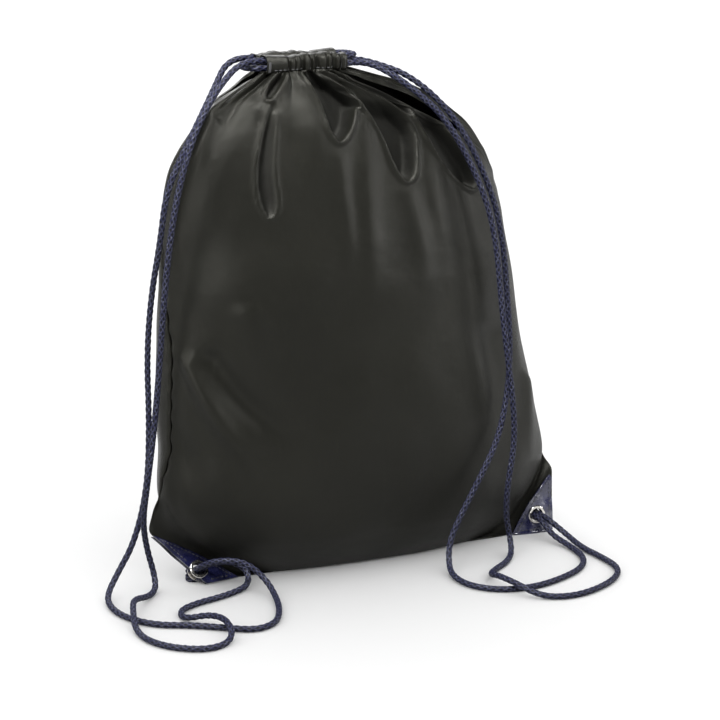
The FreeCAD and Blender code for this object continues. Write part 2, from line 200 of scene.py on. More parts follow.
RIGHT_ROUTE = [
    EARS[RIGHT].entry(PAIR, KNOT_FACE), EARS[RIGHT].entry(PAIR, EYELET_RUN), (0.157, -0.044, 0.006),
    (0.162, -0.068, FLOOR), (0.159, -0.094, FLOOR), (0.145, -0.114, FLOOR), (0.121, -0.127, FLOOR),
    (0.091, -0.136, FLOOR), (0.062, -0.131, FLOOR), (0.045, -0.113, FLOOR), (0.042, -0.090, FLOOR),
    (0.047, -0.071, 0.005), (0.052, -0.062, 0.022), (0.063, -0.062, 0.044), (0.080, -0.061, 0.072),
    (0.097, -0.058, 0.100), (0.109, -0.051, 0.134), (0.112, -0.049, 0.176), (0.109, -0.047, 0.218),
    (0.106, -0.046, 0.254), (0.099, -0.045, 0.288), (0.088, -0.042, 0.318), (0.075, -0.035, 0.347),
    (0.059, -0.026, 0.371), (0.038, -0.011, 0.391), (0.018, 0.003, 0.399), (0.004, TUNNEL_Y, LOWER),
    (-0.012, TUNNEL_Y, LOWER), (-0.075, TUNNEL_Y, LOWER), (HEM_LEFT - TURN_OUT, TUNNEL_Y, LOWER),
    (HEM_LEFT - TURN_OUT, -TUNNEL_Y, LOWER), (-0.075, -TUNNEL_Y, LOWER), (-0.019, -TUNNEL_Y, LOWER),
    (0.004, -TUNNEL_Y, LOWER), (0.020, -0.024, 0.393), (0.037, -0.033, 0.379), (0.054, -0.039, 0.362),
    (0.068, -0.043, 0.340), (0.081, -0.047, 0.313), (0.091, -0.051, 0.284), (0.097, -0.053, 0.250),
    (0.099, -0.056, 0.214), (0.103, -0.060, 0.172), (0.109, -0.061, 0.130), (0.112, -0.059, 0.096),
    (0.105, -0.061, 0.062), (0.107, -0.055, 0.034), (0.113, -0.051, 0.015), (0.110, -0.061, 0.004),
    (0.098, -0.076, FLOOR), (0.080, -0.088, FLOOR), (0.068, -0.102, 0.005), (0.066, -0.118, 0.010),
    (0.070, -0.137, 0.010), (0.084, -0.157, FLOOR), (0.106, -0.166, FLOOR), (0.132, -0.160, FLOOR),
    (0.157, -0.146, FLOOR), (0.172, -0.126, FLOOR), (0.172, -0.099, FLOOR), (0.169, -0.072, FLOOR),
    (0.169, -0.046, 0.006), EARS[RIGHT].entry(-PAIR, EYELET_RUN), EARS[RIGHT].entry(-PAIR, KNOT_FACE),
]

# Pleats pressed into the hem: place from its middle, half width, depth
HEM_PLEATS = (
    (-0.0140, 0.0013, 0.0026), (-0.0085, 0.0010, 0.0020), (-0.0030, 0.0020, 0.0050),
    (0.0042, 0.0011, 0.0026), (0.0093, 0.0022, 0.0054), (0.0170, 0.0013, 0.0034),
    (0.0232, 0.0026, 0.0044), (0.0292, 0.0011, 0.0026),
)

# Pockets that hang between the gathers, as outlines on the panel: share across, drop below the top.
# Then the depth and the height of the rim.
FRONT_POCKETS = (
    (((-0.105, -0.004), (-0.100, 0.013), (-0.090, 0.034), (-0.080, 0.044), (-0.045, 0.052),
      (0.015, 0.044), (0.080, 0.030), (0.125, 0.025), (0.180, -0.004)), 0.0090, 0.0022),
    (((0.110, 0.012), (0.135, 0.027), (0.145, 0.042), (0.155, 0.055), (0.170, 0.074), (0.205, 0.085),
      (0.245, 0.081), (0.285, 0.064), (0.320, 0.044), (0.300, 0.022)), 0.0080, 0.0020),
    (((0.250, 0.004), (0.285, 0.020), (0.320, 0.034), (0.365, 0.039), (0.410, 0.030),
      (0.450, 0.006)), 0.0050, 0.0015),
    (((0.400, 0.028), (0.365, 0.052), (0.390, 0.074), (0.465, 0.091), (0.545, 0.098), (0.575, 0.086),
      (0.545, 0.062), (0.500, 0.032)), 0.0065, 0.0018),
    (((-0.360, -0.006), (-0.500, 0.004), (-0.480, 0.013), (-0.420, 0.019), (-0.375, 0.015),
      (-0.330, -0.006)), 0.0050, 0.0014),
    (((-0.385, 0.020), (-0.400, 0.042), (-0.395, 0.066), (-0.375, 0.092), (-0.335, 0.105),
      (-0.305, 0.094), (-0.320, 0.069), (-0.345, 0.029)), 0.0028, 0.0012),
)
BACK_POCKETS = (
    (((-0.160, -0.004), (-0.150, 0.018), (-0.120, 0.040), (-0.060, 0.052), (0.000, 0.040),
      (0.030, 0.018), (0.040, -0.004)), 0.0080, 0.0020),
    (((0.180, -0.004), (0.170, 0.024), (0.190, 0.054), (0.240, 0.072), (0.300, 0.054),
      (0.320, 0.024), (0.330, -0.004)), 0.0070, 0.0018),
    (((-0.420, -0.004), (-0.450, 0.024), (-0.420, 0.054), (-0.370, 0.066), (-0.330, 0.048),
      (-0.320, 0.024), (-0.310, -0.004)), 0.0060, 0.0016),
)

# Soft ridges and hollows: line on the panel, its height, its width to each side
FRONT_RIDGES = (
    (((-0.200, -0.002), (-0.190, 0.029), (-0.150, 0.059), (-0.110, 0.089)), 0.0040, 0.012, 0.010),
    (((0.125, 0.024), (0.060, 0.069), (0.030, 0.132), (0.010, 0.199)), 0.0026, 0.007, 0.007),
    (((-0.045, 0.054), (-0.050, 0.085), (-0.050, 0.129), (-0.060, 0.174)), 0.0018, 0.005, 0.006),
    (((0.210, 0.086), (0.225, 0.113), (0.240, 0.159), (0.250, 0.214)), 0.0020, 0.006, 0.008),
    (((0.400, 0.042), (0.330, 0.082), (0.325, 0.134), (0.330, 0.189)), 0.0022, 0.008, 0.009),
    (((-0.520, 0.012), (-0.560, 0.042), (-0.590, 0.084), (-0.600, 0.134)), 0.0030, 0.010, 0.012),
    (((-0.750, 0.028), (-0.720, 0.054), (-0.700, 0.089)), 0.0030, 0.010, 0.010),
    (((0.700, 0.044), (0.640, 0.084), (0.600, 0.134)), 0.0030, 0.012, 0.010),
    (((-0.760, 0.204), (-0.640, 0.239), (-0.500, 0.279), (-0.380, 0.319)), 0.0060, 0.009, 0.008),
    (((-0.640, 0.199), (-0.500, 0.236), (-0.380, 0.264), (-0.270, 0.286)), -0.0050, 0.010, 0.009),
    (((-0.900, 0.254), (-0.760, 0.284), (-0.640, 0.334)), -0.0030, 0.013, 0.011),
    (((-0.450, 0.164), (-0.380, 0.214), (-0.300, 0.254)), 0.0022, 0.012, 0.010),
    (((0.820, 0.254), (0.700, 0.294), (0.620, 0.344)), 0.0028, 0.013, 0.012),
    (((0.560, 0.204), (0.480, 0.254), (0.440, 0.314)), -0.0020, 0.015, 0.014),
)
BACK_RIDGES = (
    (((0.100, 0.000), (0.080, 0.054), (0.050, 0.124), (0.040, 0.194)), 0.0030, 0.010, 0.010),
    (((-0.250, 0.000), (-0.240, 0.054), (-0.200, 0.134)), 0.0030, 0.009, 0.010),
    (((0.450, 0.014), (0.480, 0.064), (0.500, 0.134)), 0.0030, 0.012, 0.012),
    (((-0.600, 0.024), (-0.620, 0.074), (-0.640, 0.144)), 0.0030, 0.012, 0.012),
    (((0.700, 0.224), (0.560, 0.264), (0.420, 0.324)), 0.0032, 0.014, 0.012),
    (((-0.780, 0.234), (-0.620, 0.274), (-0.480, 0.334)), -0.0030, 0.014, 0.013),
    (((-0.350, 0.174), (-0.100, 0.214), (0.150, 0.204)), 0.0024, 0.018, 0.014),
)


class BackpackCloth(bpy.types.PropertyGroup):
    """Sizes and colour of the panels."""
    columns: bpy.props.IntProperty(name="Columns", description="Faces across one panel", default=180, min=40)
    rows: bpy.props.IntProperty(name="Rows", description="Faces up one panel", default=250, min=60)
    thickness: bpy.props.FloatProperty(
        name="Thickness", description="Thickness of the cloth", default=0.0005, unit="LENGTH")
    colour: bpy.props.FloatVectorProperty(
        name="Colour", description="Colour of the satin", default=(0.0040, 0.0040, 0.0030), subtype="COLOR")


class BackpackCord(bpy.types.PropertyGroup):
    """Sizes and colour of the braided cord."""
    diameter: bpy.props.FloatProperty(
        name="Diameter", description="Diameter of the cord", default=CORD_D, unit="LENGTH")
    step: bpy.props.FloatProperty(
        name="Step", description="Distance between the rings of the tube", default=0.0008, unit="LENGTH")
    strands: bpy.props.IntProperty(name="Strands", description="Strands that turn each way", default=4)
    pitch: bpy.props.FloatProperty(
        name="Pitch", description="Length in which a strand goes once round", default=0.024, unit="LENGTH")
    colour: bpy.props.FloatVectorProperty(
        name="Colour", description="Colour of the cord", default=(0.0036, 0.0042, 0.0180), subtype="COLOR")


class BackpackCorner(bpy.types.PropertyGroup):
    """Sizes and colour of the corner patches and their metal."""
    thickness: bpy.props.FloatProperty(
        name="Thickness", description="Thickness of a patch", default=0.0013, unit="LENGTH")
    colour: bpy.props.FloatVectorProperty(
        name="Colour", description="Colour of the leatherette", default=(0.0035, 0.0042, 0.024),
        subtype="COLOR")


class BackpackStage(bpy.types.PropertyGroup):
    """The camera's place and lens."""
    azimuth: bpy.props.FloatProperty(
        name="Azimuth", description="Camera's turn about the bag", default=math.radians(-25), subtype="ANGLE")
    elevation: bpy.props.FloatProperty(
        name="Elevation", description="Camera's height angle", default=math.radians(15), subtype="ANGLE")
    distance: bpy.props.FloatProperty(
        name="Distance", description="Camera's distance", default=1.8, unit="LENGTH")
    lens: bpy.props.FloatProperty(name="Lens", description="Focal length in millimetres", default=112.5)


def home(node):
    """The body that carries a node."""
    return next(body for body, members in BODIES.items() if node in members)


# ---------------------------------------------------------------- shaders

class Wire:
    """A socket's value, so that a pattern is written as a sum."""

    def __init__(self, finish, socket):
        self.finish = finish
        self.socket = socket

    def maths(self, operation, *values):
        return self.finish.node("ShaderNodeMath", {"operation": operation}, dict(enumerate((self,) + values)))

    def __add__(self, other):
        return self.maths("ADD", other)

    def __sub__(self, other):
        return self.maths("SUBTRACT", other)

    def __rsub__(self, other):
        return self.finish.node("ShaderNodeMath", {"operation": "SUBTRACT"}, {0: other, 1: self})

    def __mul__(self, other):
        return self.maths("MULTIPLY", other)


class Finish:
    """One material under construction."""

    def __init__(self, name):
        self.material = bpy.data.materials.new(name)
        self.material.use_nodes = True
        self.tree = self.material.node_tree
        self.tree.nodes.clear()

    def node(self, kind, settings=None, inputs=None, output=0):
        made = self.tree.nodes.new(kind)
        for key, value in (settings or {}).items():
            setattr(made, key, value)
        for key, value in (inputs or {}).items():
            if isinstance(value, Wire):
                self.tree.links.new(value.socket, made.inputs[key])
            else:
                made.inputs[key].default_value = value
        return Wire(self, made.outputs[output])

    def place(self, source="Object"):
        return self.node("ShaderNodeTexCoord", output=source)

    def noise(self, where, scale, detail=3.0, rough=0.5):
        return self.node("ShaderNodeTexNoise", inputs={
            "Vector": where, "Scale": scale, "Detail": detail, "Roughness": rough}, output="Fac")

    def band(self, value, low, high):
        """0 below low, 1 above high."""
        return self.node("ShaderNodeMapRange", {"interpolation_type": "SMOOTHSTEP"},
                         {"Value": value, "From Min": low, "From Max": high})

    def mix(self, factor, first, second):
        return self.node("ShaderNodeMix", {"data_type": "RGBA"}, {0: factor, 6: first, 7: second}, output=2)

    def parts(self, vector, axis):
        return self.node("ShaderNodeSeparateXYZ", inputs={0: vector}, output=axis)

    def bump(self, height, distance, strength=1.0, under=None):
        inputs = {"Height": height, "Distance": distance, "Strength": strength}
        if under:
            inputs["Normal"] = under
        return self.node("ShaderNodeBump", inputs=inputs)

    def surface(self, **inputs):
        named = {key.replace("_", " "): value for key, value in inputs.items()}
        skin = self.node("ShaderNodeBsdfPrincipled", inputs=named)
        output = self.tree.nodes.new("ShaderNodeOutputMaterial")
        self.tree.links.new(skin.socket, output.inputs["Surface"])
        return self.material


def rgba(colour, gain=1.0):
    return tuple(channel * gain for channel in colour) + (1.0,)


def satin():
    """Dark satin: fine weave, soft crumple and a dull shine along the warp, with painted shade that darkens
    the colour inside the pockets of the folds.
    """
    finish = Finish("satin_cloth")
    colour = bpy.context.scene.backpack_cloth.colour
    flat = finish.place("UV")
    across = finish.parts(flat, "X")
    up = finish.parts(flat, "Y")
    weft = (up * (2 * math.pi / 0.0005)).maths("SINE")
    warp = (across * (2 * math.pi / 0.0004)).maths("SINE")
    cloudy = finish.noise(flat, 9.0, 3.0)
    slubs = finish.noise(finish.node("ShaderNodeMapping", inputs={
        "Vector": flat, "Scale": (900.0, 60.0, 1.0)}), 1.0, 2.0)
    crumple = finish.noise(flat, 32.0, 4.0, 0.45)
    crease = finish.noise(flat, 90.0, 2.0, 0.5)
    tone = finish.mix(finish.band(cloudy, 0.3, 0.7), rgba(colour, 0.85), rgba(colour, 1.2))
    tone = finish.mix(finish.band(slubs, 0.55, 0.8) * 0.5, tone, rgba(colour, 1.9))
    # Painted shade: inside the pockets of the folds the colour is mixed towards near black, by the per-point
    # fold mask from the panel; the same mask raises the roughness there.
    painted_fold_shade = finish.node("ShaderNodeAttribute", {"attribute_name": "painted_fold_shade"}, output="Fac")
    tone = finish.mix(painted_fold_shade * 0.75, tone, (0.0010, 0.0010, 0.0009, 1.0))
    bump = finish.bump(crumple, 0.0016, 0.5)
    bump = finish.bump(crease, 0.0004, 0.35, bump)
    bump = finish.bump(weft * 0.5 + warp * 0.5, 0.00006, 0.6, bump)
    return finish.surface(
        Base_Color=tone, Roughness=cloudy * 0.08 + slubs * 0.08 + 0.27 + painted_fold_shade * 0.32, Normal=bump,
        Specular_IOR_Level=0.22, Specular_Tint=(1.0, 0.99, 0.90, 1.0))


def leatherette():
    """Glossy coated navy with a fine pebble grain."""
    finish = Finish("navy_leatherette")
    colour = bpy.context.scene.backpack_corner.colour
    where = finish.place()
    grain = finish.node("ShaderNodeTexVoronoi", {"feature": "SMOOTH_F1"}, {
        "Vector": where, "Scale": 1100.0, "Smoothness": 0.6}, output="Distance")
    soft = finish.noise(where, 60.0, 3.0)
    worn = finish.noise(where, 240.0, 4.0, 0.6)
    tone = finish.mix(finish.band(soft, 0.35, 0.7), rgba(colour, 0.8), rgba(colour, 1.3))
    tone = finish.mix(finish.band(worn, 0.62, 0.8) * 0.35, tone, rgba((0.05, 0.055, 0.11)))
    bump = finish.bump(finish.noise(where, 34.0, 2.0), 0.0075, 0.9)
    bump = finish.bump(soft, 0.0012, 0.5, bump)
    bump = finish.bump(grain, 0.00025, 0.35, bump)
    return finish.surface(
        Base_Color=tone, Roughness=worn * 0.15 + 0.20, Normal=bump, Specular_IOR_Level=0.5,
        Coat_Weight=0.9, Coat_Roughness=0.06, Coat_IOR=1.5)


def braid():
    """Navy strands that cross, with painted shade in the hollows between them and pale flecks painted as
    glints on their crowns, where the fibres catch the light.
    """
    finish = Finish("braided_navy_cord")
    sizes = bpy.context.scene.backpack_cord
    flat = finish.place("UV")
    turn = finish.parts(flat, "X") * sizes.strands
    run = finish.parts(flat, "Y") * (sizes.strands / sizes.pitch)
    first = ((turn + run) * (2 * math.pi)).maths("COSINE")
    second = ((turn - run) * (2 * math.pi)).maths("COSINE")
    on_top = finish.band(first - second, -0.15, 0.15)
    fibres_first = finish.noise(finish.node("ShaderNodeCombineXYZ", inputs={
        "X": (turn + run) * 9.0, "Y": (turn - run) * 1.3}), 1.0, 2.0)
    fibres_second = finish.noise(finish.node("ShaderNodeCombineXYZ", inputs={
        "X": (turn - run) * 9.0, "Y": (turn + run) * 1.3}), 1.0, 2.0)
    fibres = fibres_second + on_top * (fibres_first - fibres_second)
    crown = first.maths("MAXIMUM", second)
    # Painted shade and highlight: the colour falls to a tenth in the hollows between the strands, and pale
    # flecks are painted as glints on the crowns only.
    hollow = finish.band(crown, -0.1, 0.75)
    painted_glint = finish.band(fibres, 0.50, 0.66) * hollow
    tone = finish.mix(hollow, rgba(sizes.colour, 0.12), rgba(sizes.colour, 1.2))
    tone = finish.mix(painted_glint * 0.65, tone, (0.090, 0.095, 0.125, 1.0))
    bump = finish.bump(fibres, 0.0003, 0.7)
    return finish.surface(
        Base_Color=tone, Roughness=0.58 - painted_glint * 0.2, Normal=bump, Specular_IOR_Level=0.2)


def nickel():
    """Polished nickel with fine handling scratches."""
    finish = Finish("eyelet_nickel")
    where = finish.place()
    cloud = finish.noise(where, 180.0, 3.0)
    scratch = finish.noise(finish.node("ShaderNodeMapping", inputs={
        "Vector": where, "Scale": (3000.0, 220.0, 600.0)}), 1.0, 2.0)
    tone = finish.mix(cloud, (0.62, 0.60, 0.56, 1.0), (0.80, 0.78, 0.74, 1.0))
    return finish.surface(
        Base_Color=tone, Metallic=1.0, Roughness=finish.band(scratch, 0.5, 0.8) * 0.2 + 0.16,
        Normal=finish.bump(scratch, 0.00003, 0.5))


def thread():
    """Twisted sewing thread."""
    finish = Finish("charcoal_thread")
    where = finish.place()
    twist = finish.node("ShaderNodeTexWave", {"bands_direction": "DIAGONAL"}, {
        "Vector": where, "Scale": 500.0, "Distortion": 2.0}, output="Fac")
    tone = finish.mix(twist, (0.010, 0.010, 0.012, 1.0), (0.045, 0.045, 0.048, 1.0))
    return finish.surface(
        Base_Color=tone, Roughness=twist * 0.15 + 0.5, Normal=finish.bump(twist, 0.0001, 0.6),
        Specular_IOR_Level=0.35, Sheen_Weight=0.2)


def pale_floor():
    finish = Finish("pale_floor")
    mottle = finish.noise(finish.place(), 3.0)
    return finish.surface(
        Base_Color=finish.mix(mottle, (0.86, 0.86, 0.86, 1.0), (0.88, 0.88, 0.88, 1.0)), Roughness=0.9,
        Specular_IOR_Level=0.1)


def keep_one(maker):
    """Each material is made once and shared."""
    name = {"satin": "satin_cloth", "leatherette": "navy_leatherette", "braid": "braided_navy_cord",
            "nickel": "eyelet_nickel", "thread": "charcoal_thread"}[maker.__name__]
    return bpy.data.materials.get(name) or maker()


# ---------------------------------------------------------------- meshes

def smoothstep(low, high, value):
    share = np.clip((value - low) / (high - low), 0.0, 1.0)
    return share * share * (3.0 - 2.0 * share)


def add_object(name, form, material, smooth=True):
    mesh = bpy.data.meshes.new(name)
    form.to_mesh(mesh)
    form.free()
    mesh.materials.append(material)
    if smooth:
        mesh.polygons.foreach_set("use_smooth", [True] * len(mesh.polygons))
    piece = bpy.data.objects.new(name, mesh)
    bpy.context.scene.collection.objects.link(piece)
    return piece


def mapped_grid(columns, rows, place, uv_size, turn_over=False, tuck=None):
    """A grid whose points a function places; place and the fold mask function take arrays of shares across
    and up.
    The fold mask says how far each point lies inside a fold, from 0 to 1; the satin paints shade there."""
    form = bmesh.new()
    bmesh.ops.create_grid(form, x_segments=columns, y_segments=rows, size=1.0)
    flat = np.array([vert.co[:2] for vert in form.verts])
    order = np.lexsort((flat[:, 0].round(6), flat[:, 1].round(6)))
    shares = (flat[order] + 1.0) / 2.0
    shares = shares.reshape(rows + 1, columns + 1, 2)
    places = place(shares[..., 0], shares[..., 1]).reshape(-1, 3)
    form.verts.ensure_lookup_table()
    uv_layer = form.loops.layers.uv.new("UVMap")
    for face in form.faces:
        for loop in face.loops:
            x, y = loop.vert.co[:2]
            loop[uv_layer].uv = ((x + 1.0) / 2.0 * uv_size[0], (y + 1.0) / 2.0 * uv_size[1])
    for index, where in zip(order, places):
        form.verts[index].co = where
    # Store the fold mask on the points, for the satin's painted shade inside the folds.
    if tuck:
        painted_fold_shade = form.verts.layers.float.new("painted_fold_shade")
        form.verts.ensure_lookup_table()
        for index, value in zip(order, tuck(shares[..., 0], shares[..., 1]).ravel()):
            form.verts[index][painted_fold_shade] = value
    if turn_over:
        bmesh.ops.reverse_faces(form, faces=form.faces)
    return form


def solid(piece, thickness):
    """Live thickness on the cloth's inner side."""
    wall = piece.modifiers.new("thickness", "SOLIDIFY")
    wall.thickness = thickness
    wall.offset = -1.0


def ring_at(height):
    """Centre, half width and half depth of the filled bag at each height, as a smooth curve through BELLY."""
    heights = BELLY[:, 0]
    slopes = np.gradient(BELLY[:, 1:], heights, axis=0)
    height = np.clip(height, heights[0], heights[-1])
    index = np.clip(np.searchsorted(heights, height, side="right") - 1, 0, len(heights) - 2)
    span = heights[index + 1] - heights[index]
    share = (height - heights[index]) / span
    first, second = BELLY[index, 1:], BELLY[index + 1, 1:]
    share, span = share[..., None], span[..., None]
    ring = (first * (1 - share) ** 2 * (1 + 2 * share) + second * share ** 2 * (3 - 2 * share)
            + slopes[index] * span * share * (1 - share) ** 2
            - slopes[index + 1] * span * share ** 2 * (1 - share))
    return ring[..., 0], ring[..., 1], ring[..., 2]


def half_girth(height):
    """Cloth from the middle of a panel to its side seam at each height."""
    _, half_width, half_depth = ring_at(height)
    return math.pi / 2 * np.sqrt((half_width ** 2 + half_depth ** 2) / 2)


def panel_height(across, up, side):
    """Height above the floor and the share of the way out from the bottom seam to the bag's foot."""
    run = 0.009 if side == FRONT else 0.037
    foot = run / CUT_HEIGHT * (1.0 - np.abs(across) ** 3)
    foot = np.maximum(foot, 1e-6)
    height = (BAG_TOP + 0.0015) * np.clip((up - foot) / (1.0 - foot), 0.0, 1.0)
    return height, np.clip(up / foot, 0.0, 1.0)


def seam_turn(across, height, side):
    """The panel's turn at each place: its right seam lies round towards the front near the top, where
    it is open, and its left seam is open a little at the neck."""
    drop = BAG_TOP - height
    round_front = np.interp(drop, SEAM_DROPS, SEAM_DEGREES)
    open_right = np.interp(drop, (0.0, 0.006, 0.024, 0.044, 0.062), (2.0, 5.0, 7.0, 4.0, 0.0))
    open_left = np.interp(drop, (0.0, 0.012, 0.024), (4.0, 2.0, 0.0))
    left_front = np.interp(height, (0.060, 0.110, 0.190, 0.300), (0.0, 13.0, 15.0, 0.0))
    right = 90.0 + side * round_front - open_right
    left = 90.0 + side * left_front - open_left
    return np.radians(across * np.where(across > 0, right, left))


def seam_strip(across, height):
    """The turned and stitched edge that stands proud on each side of the open seam."""
    from_edge = (1.0 - np.abs(across)) * half_girth(height) * 0.6
    drop = BAG_TOP - height
    shown = smoothstep(0.0, 0.008, drop) * (1.0 - smoothstep(0.060, 0.085, drop))
    strip = 1.0 - smoothstep(0.0058, 0.0070, from_edge)
    seam = np.exp(-((from_edge - 0.0046) / 0.0005) ** 2)
    groove = 0.0016 * np.exp(-(from_edge / 0.0011) ** 2) * (1.0 - shown) * smoothstep(0.055, 0.080, height)
    return np.where(across > 0, shown, 0.0) * (0.0015 * strip - 0.0006 * seam) - groove


def panel_base(across, up, side):
    """The panel's smooth shape: filled belly, flat corners and bottom seam. across runs from -1 to 1."""
    height, out = panel_height(across, up, side)
    centre, half_width, half_depth = ring_at(height)
    turn = seam_turn(across, height, side)
    squared = smoothstep(BAG_TOP - 0.022, BAG_TOP, height)
    depth = np.sign(np.cos(turn)) * np.abs(np.cos(turn)) ** (1.0 - 0.6 * squared)
    pucker = 0.0006 * np.sin(height * 2 * math.pi / 0.017) * np.abs(across) ** 30
    x = centre + (half_width + pucker) * np.sin(turn)
    y = side * half_depth * depth
    left_share = 2 * EARS[LEFT].along_length / BOTTOM_EDGE - 1
    right_share = 1 - 2 * EARS[RIGHT].along_length / BOTTOM_EDGE
    along = (across - left_share) / (right_share - left_share)
    seam_left, seam_right = np.array(EARS[LEFT].seam_point), np.array(EARS[RIGHT].seam_point)
    seam_x = seam_left[0] + (seam_right[0] - seam_left[0]) * along
    seam_y = seam_left[1] + (seam_right[1] - seam_left[1]) * along
    places = np.stack([seam_x + (x - seam_x) * out, seam_y + (y - seam_y) * out, height + 0.0004], axis=-1)
    for edge, ear, seam_share in ((LEFT, EARS[LEFT], left_share), (RIGHT, EARS[RIGHT], right_share)):
        beside = (across - edge) / (seam_share - edge)
        above = up * CUT_HEIGHT / ear.up_length
        total = beside + above
        hold = 1.0 - smoothstep(1.0, 1.65, total)
        capped = 1.0 + 0.22 * (1.0 - np.exp(-np.maximum(total - 1.0, 0.0) / 0.22))
        scale = np.where(total > 1.0, capped / np.maximum(total, 1e-6), 1.0)
        flat = ear.points(above * scale, beside * scale, np.full(across.shape, -0.0005 * side))
        places = flat * hold[..., None] + places * (1.0 - hold[..., None])
    places[..., 2] = np.maximum(places[..., 2], FLOOR_ROOM)
    return places, height


def smooth_line(points, steps=10):
    """A curve through the points."""
    points = np.array(points, float)
    padded = np.vstack([2 * points[0] - points[1], points, 2 * points[-1] - points[-2]])
    line = []
    for before, first, second, after in zip(padded, padded[1:], padded[2:], padded[3:]):
        for share in np.linspace(0.0, 1.0, steps, endpoint=False):
            line.append(0.5 * (2 * first + (second - before) * share
                               + (2 * before - 5 * first + 4 * second - after) * share ** 2
                               + (3 * first - before - 3 * second + after) * share ** 3))
    line.append(points[-1])
    return np.array(line)


def lay_flat(across, height):
    """Place on the panel laid flat at its own width, in metres."""
    return np.stack([across * half_girth(height), height], axis=-1)


def fold_line(points):
    """A fold's line on the flat panel."""
    across, drop = smooth_line(points).T
    return lay_flat(across, BAG_TOP - drop)


def distance_to(line, flat):
    """Distance to a line, which side of it, and the share along it."""
    best = np.full(flat.shape[:-1], 1e9)
    side = np.zeros_like(best)
    share = np.zeros_like(best)
    for index, (start, end) in enumerate(zip(line, line[1:])):
        step = end - start
        along = np.clip(((flat - start) @ step) / max(step @ step, 1e-12), 0.0, 1.0)
        away = flat - (start + along[..., None] * step)
        gap = np.sqrt((away ** 2).sum(axis=-1))
        nearer = gap < best
        best = np.where(nearer, gap, best)
        side = np.where(nearer, np.sign(step[0] * away[..., 1] - step[1] * away[..., 0]), side)
        share = np.where(nearer, (index + along) / (len(line) - 1), share)
    return best, side, share


def inside(outline, flat):
    """True for places inside a closed outline."""
    within = np.zeros(flat.shape[:-1], bool)
    x, y = flat[..., 0], flat[..., 1]
    for start, end in zip(outline, np.roll(outline, -1, axis=0)):
        rise = end[1] - start[1]
        crosses = (start[1] > y) != (end[1] > y)
        edge = start[0] + (y - start[1]) * (end[0] - start[0]) / (rise if abs(rise) > 1e-9 else 1e-9)
        within ^= crosses & (x < edge)
    return within


def pocket_hollow(points, flat, reach):
    """Distance to a pocket's rim, which places are inside, and how hollow each is."""
    line = fold_line(points)
    gap, _, _ = distance_to(line, flat)
    within = inside(line, flat)
    closing, _, _ = distance_to(line[[-1, 0]], flat)
    hollow = smoothstep(0.0, reach, gap) * within * smoothstep(0.0, 0.014, closing)
    return gap, within, hollow


def pocket(points, depth, rim, flat):
    """A hanging fold: hollow inside, with a rolled rim."""
    gap, within, hollow = pocket_hollow(points, flat, 0.0050)
    roll = np.exp(-(gap / np.where(within, 0.0010, 0.0022)) ** 2)
    swell = np.exp(-(gap / 0.009) ** 2) * ~within
    return 1.25 * rim * roll + 0.4 * rim * swell - 1.2 * depth * hollow


def ridge(points, height, left_width, right_width, flat):
    """A soft fold along a line, highest near its start."""
    line = fold_line(points)
    gap, side, share = distance_to(line, flat)
    width = np.where(side > 0, left_width, right_width)
    fade = smoothstep(0.0, 0.12, share) * (1.0 - smoothstep(0.45, 1.0, share))
    return height * fade * np.exp(-(gap / width) ** 2)


def hem_place(x, side):
    """Distance from the hem's middle, the other way round on the back."""
    return (x - HEM_CENTRE) * -side


def hem_press(x, side):
    """How far the gathers press the hem in at each place along it."""
    along = hem_place(x, side)
    return sum(depth * np.exp(-((along - place) / width) ** 2) for place, width, depth in HEM_PLEATS)


def gathers(across, height, side):
    """Fine pleats that run down from the hem and die out."""
    below = np.maximum(BAG_TOP - height, 0.0)
    shift = 0.0 if side == FRONT else 1.7
    waves = sum(
        size * np.cos(count * math.pi * across + phase + shift) * np.exp(-below / reach)
        for count, phase, size, reach in (
            (5, 0.6, 0.0016, 0.060), (9, 2.1, 0.0012, 0.040), (14, 0.9, 0.0011, 0.022))
    )
    centre, half_width, _ = ring_at(np.full(across.shape, BAG_TOP))
    x = centre + half_width * np.sin(across * math.pi / 2)
    return waves - hem_press(x, side) * np.exp(-(below / 0.014) ** 1.5) * 0.9


def crumple(across, height, side):
    """Slow unevenness of cloth that hangs over soft contents."""
    places = lay_flat(across, height)
    flat = places.reshape(-1, 2)
    values = [
        noise.noise(Vector((x * 14.0, y * 11.0, 3.0 * side))) * 0.0032
        + noise.noise(Vector((x * 34.0 + y * 9.0, y * 22.0 - x * 14.0, 7.0 + side))) * 0.0013
        for x, y in flat
    ]
    return np.array(values).reshape(across.shape)


def folds(across, height, side):
    flat = lay_flat(across, height)
    pockets, ridges = (FRONT_POCKETS, FRONT_RIDGES) if side == FRONT else (BACK_POCKETS, BACK_RIDGES)
    total = gathers(across, height, side) + crumple(across, height, side)
    for points, depth, rim in pockets:
        total = total + pocket(points, depth, rim, flat)
    for points, size, left_width, right_width in ridges:
        total = total + ridge(points, size, left_width, right_width, flat)
    return total


def panel_shares(column_share, row_share):
    """Share across, from -1 to 1, and share up: the rows lie closer near the gathers."""
    up = np.where(row_share < 0.5, row_share * 1.2, 0.6 + (row_share - 0.5) * 0.8)
    return 2.0 * column_share - 1.0, up


def panel_tuck(side):
    """The function that says how far a place on the panel lies inside a fold, for the satin's painted shade
    there; weaker on the back.
    """
    def tuck(column_share, row_share):
        across, up = panel_shares(column_share, row_share)
        height, _ = panel_height(across, up, side)
        around = seam_turn(across, height, side) / (math.pi / 2)
        flat = lay_flat(around, height)
        # Painted shade inside the pockets: full on the front, 0.4 of it on the back.
        pockets, strength = (FRONT_POCKETS, 1.0) if side == FRONT else (BACK_POCKETS, 0.4)
        return strength * np.max([pocket_hollow(points, flat, 0.0030)[2] for points, _, _ in pockets], axis=0)
    return tuck


